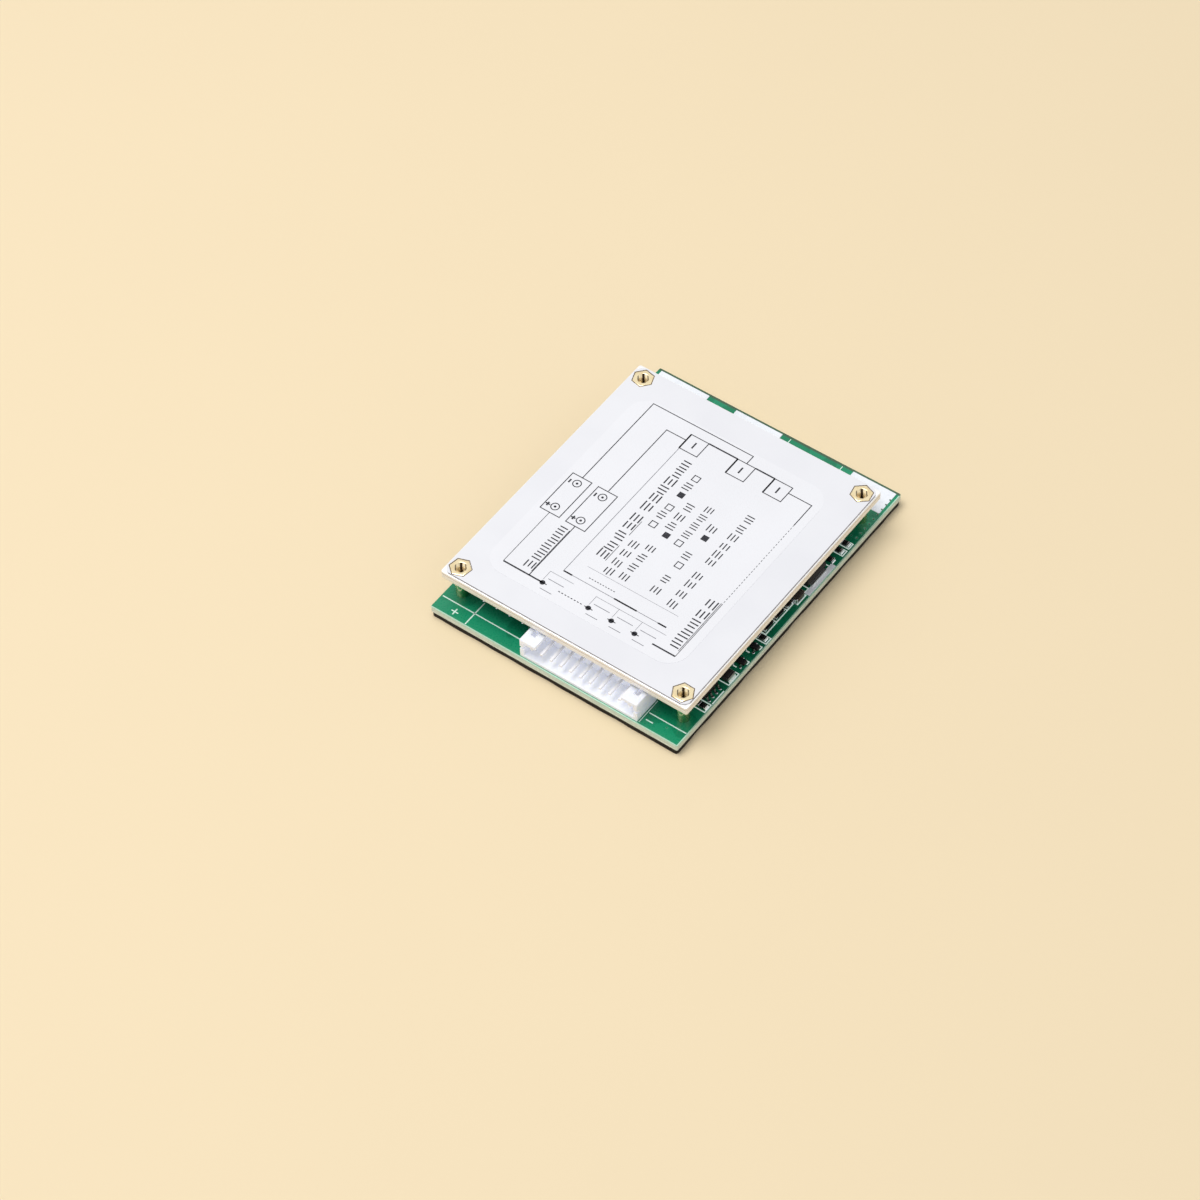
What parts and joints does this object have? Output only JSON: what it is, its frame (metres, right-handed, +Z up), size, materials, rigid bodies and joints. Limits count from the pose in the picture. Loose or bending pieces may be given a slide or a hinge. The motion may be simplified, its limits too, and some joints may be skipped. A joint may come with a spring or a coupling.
{
  "type": "battery management board",
  "caption": "Battery management circuit board with a side-entry balance header, wire pads and a white-faced aluminium heat-sink plate on brass standoffs.",
  "frame": {"origin": "middle of the insulating pad's underside, on the surface the board lies on", "axes": "+X along the header edge from the plus corner to the minus corner, +Y from the header edge to the wire-pad edge, +Z up through the plate"},
  "size_m": [0.0636, 0.0826, 0.0115],
  "materials": {
    "foam": "matt black closed-cell foam",
    "board": "green solder mask on glass-epoxy laminate",
    "tinned_copper": "bright tin-lead coating",
    "nylon": "satin bluish-white nylon",
    "pin_metal": "bright tin plate",
    "plate_metal": "satin with sheared edges",
    "white_film": "smooth white film",
    "brass": "bright turned brass",
    "screw_steel": "zinc plate",
    "silicone": "soft grey-blue silicone",
    "epoxy": "matt black moulding compound",
    "lead_metal": "tin-plated copper",
    "resistor_glaze": "black glaze",
    "chip_tin": "bright solder",
    "capacitor_ceramic": "brown ceramic",
    "shunt_alloy": "dull resistance alloy"
  },
  "bodies": {
    "root": {"insulating_pad": "foam", "circuit_board": "board", "charge_pad": "tinned_copper", "load_pad": "tinned_copper", "battery_pad": "tinned_copper", "bus_strip": "tinned_copper", "header_housing": "nylon", "header_pins": "pin_metal", "header_solder": "chip_tin", "heatsink_plate": "plate_metal", "plate_film": "white_film", "board_screws": "screw_steel", "thermal_pad": "silicone", "monitor_ic": "epoxy", "monitor_ic_leads": "lead_metal", "logic_ic": "epoxy", "logic_ic_leads": "lead_metal", "switch_transistor": "epoxy", "switch_transistor_metal": "lead_metal", "balance_resistors": "resistor_glaze", "balance_resistor_ends": "chip_tin", "edge_resistors": "resistor_glaze", "edge_resistor_ends": "chip_tin", "smoothing_capacitor": "capacitor_ceramic", "smoothing_capacitor_ends": "chip_tin", "blocking_capacitor": "capacitor_ceramic", "blocking_capacitor_ends": "chip_tin", "driver_transistors": "epoxy", "driver_transistor_leads": "lead_metal", "standoff_plus": "brass", "standoff_minus": "brass", "standoff_charge": "brass", "standoff_battery": "brass", "charge_transistor_left": "epoxy", "charge_transistor_middle": "epoxy", "charge_transistor_right": "epoxy", "discharge_transistor_left": "epoxy", "discharge_transistor_middle": "epoxy", "discharge_transistor_right": "epoxy", "charge_frame_left": "lead_metal", "charge_frame_middle": "lead_metal", "charge_frame_right": "lead_metal", "discharge_frame_left": "lead_metal", "discharge_frame_middle": "lead_metal", "discharge_frame_right": "lead_metal", "shunt_left": "shunt_alloy", "shunt_middle": "shunt_alloy", "shunt_right": "shunt_alloy", "signal_transistor_1": "epoxy", "signal_transistor_2": "epoxy", "signal_leads_1": "lead_metal", "signal_leads_2": "lead_metal"}
  },
  "joints": []
}
